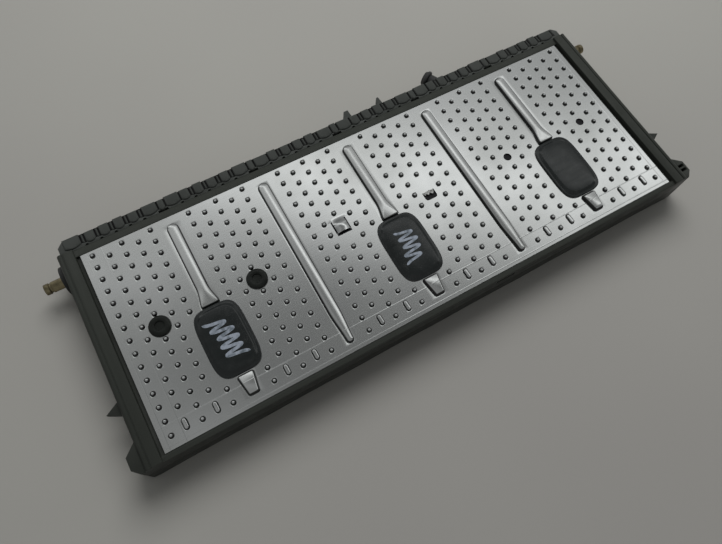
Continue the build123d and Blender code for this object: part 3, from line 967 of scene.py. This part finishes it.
top_cover = place_piece("top_cover", cover_mesh("top_cover", True), "cover_sheet", "top_plate")
cut_openings(top_cover)
place_piece("bottom_cover", cover_mesh("bottom_cover", False), "cover_sheet", "bottom_plate")
torn_lip()
for pad_name in pad_boxes:
    build_pad(pad_name)
for plug_name in ("grommet_outer", "grommet_inner"):
    build_plug(plug_name)
for plastic_node in ("frame_upper", "frame_lower"):
    softened(plastic_node, 0.45)
softened("rear_cover", 0.3)
build_bolt()
for end in ("left", "right"):
    softened(f"terminal_stud_{end}", 0.25)
    softened(f"terminal_collar_{end}", 0.5, 3)
cover_blocks()
paint_mark("pad_left", zigzag(10, 6.4, 12.0, -12.0, 5.0), 1.9)
paint_mark("pad_middle", zigzag(9, 6.2, 10.5, -10.0, -3.0), 1.6)


# ------------------------------------------------------- floor, light, camera


def build_floor():
    """Plain pale table top, faintly mottled."""
    material, tree, surface = shader("table", (0.33, 0.325, 0.30), 0.6)
    two_tone(
        tree, surface, spread(tree, noise(tree, 1.6, 3.0), 0.0, 1.0, 0.3, 0.7),
        (0.34, 0.335, 0.31), (0.29, 0.28, 0.265),
    )
    bump(tree, surface, noise(tree, 260.0, 5.0), 0.0002, 0.12)
    half = 4.0
    z = FLOOR_Z * MM
    mesh = bpy.data.meshes.new("floor")
    mesh.from_pydata(
        [(-half, -half, z), (half, -half, z), (half, half, z), (-half, half, z)],
        [], [(0, 1, 2, 3)],
    )
    mesh.materials.append(material)
    floor = bpy.data.objects.new("floor", mesh)
    bpy.context.scene.collection.objects.link(floor)


def build_light():
    """A dim sky with a bright band that lies slantwise behind the module, and a soft lamp."""
    world = bpy.data.worlds.new("studio")
    world.use_nodes = True
    bpy.context.scene.world = world
    tree = world.node_tree
    background = tree.nodes["Background"]
    place = node(tree, "ShaderNodeTexCoord")
    # The sky's level changes along this level direction, slantwise from front left to back right
    towards = node(tree, "ShaderNodeVectorMath", operation="DOT_PRODUCT")
    towards.inputs[1].default_value = (0.595, 0.804, 0.0)
    tree.links.new(place.outputs["Generated"], towards.inputs[0])
    band = node(tree, "ShaderNodeValToRGB")
    stops = band.color_ramp.elements
    for position, level in (
        (-0.50, 0.26), (-0.15, 0.18), (0.04, 0.26), (0.12, 0.24), (0.18, 0.14), (0.39, 0.18),
        (0.50, 0.98), (0.55, 0.98), (0.60, 0.46), (0.68, 0.29), (0.85, 0.22),
    ):
        stop = stops.new((position + 1) / 2)
        stop.color = (level, level, level, 1.0)
    stops[0].color = (0.28, 0.28, 0.28, 1.0)
    stops[-1].color = (0.26, 0.26, 0.26, 1.0)
    tree.links.new(spread(tree, towards.outputs["Value"], 0.0, 1.0, -1.0, 1.0), band.inputs["Fac"])
    split = node(tree, "ShaderNodeSeparateXYZ")
    tree.links.new(place.outputs["Generated"], split.inputs["Vector"])
    # A second, weaker band straight behind the module
    rising = spread(tree, split.outputs["Y"], 0.05, 0.46, 0.26, 0.50)
    falling = spread(tree, split.outputs["Y"], 0.46, 0.05, 0.55, 0.75)
    behind = math_node(tree, "MINIMUM", rising, falling)
    level = math_node(tree, "MAXIMUM", band.outputs["Color"], behind)
    tree.links.new(level, background.inputs["Strength"])
    background.inputs["Color"].default_value = (0.98, 1.0, 0.99, 1.0)

    lamp = bpy.data.lights.new("soft_lamp", "AREA")
    lamp.shape = "DISK"
    lamp.size = 0.9
    lamp.energy = 12.0
    towards_lamp = Vector((0.26, 0.48, 0.84)).normalized()
    item = bpy.data.objects.new("soft_lamp", lamp)
    item.location = towards_lamp * 1.25
    item.rotation_euler = towards_lamp.to_track_quat("Z", "Y").to_euler()
    item.visible_glossy = False
    bpy.context.scene.collection.objects.link(item)


def build_camera():
    """Camera above the front left corner, looking down along the module."""
    forward = Vector((0.22597, 0.30388, -0.92552)).normalized()
    right = Vector((0.86897, -0.49227, 0.05053))
    right = (right - forward * right.dot(forward)).normalized()
    up = right.cross(forward)
    place = Vector((-113.5, -129.7, PLATE_TOP + 324.3)) * MM
    camera = bpy.data.cameras.new("camera")
    camera.sensor_width = 36.0
    camera.lens = 29.47
    item = bpy.data.objects.new("camera", camera)
    turn = Matrix((right, up, -forward)).transposed().to_4x4()
    item.matrix_world = Matrix.Translation(place) @ turn
    bpy.context.scene.collection.objects.link(item)
    bpy.context.scene.camera = item


build_floor()
build_light()
build_camera()
bpy.context.scene.view_settings.view_transform = "Standard"
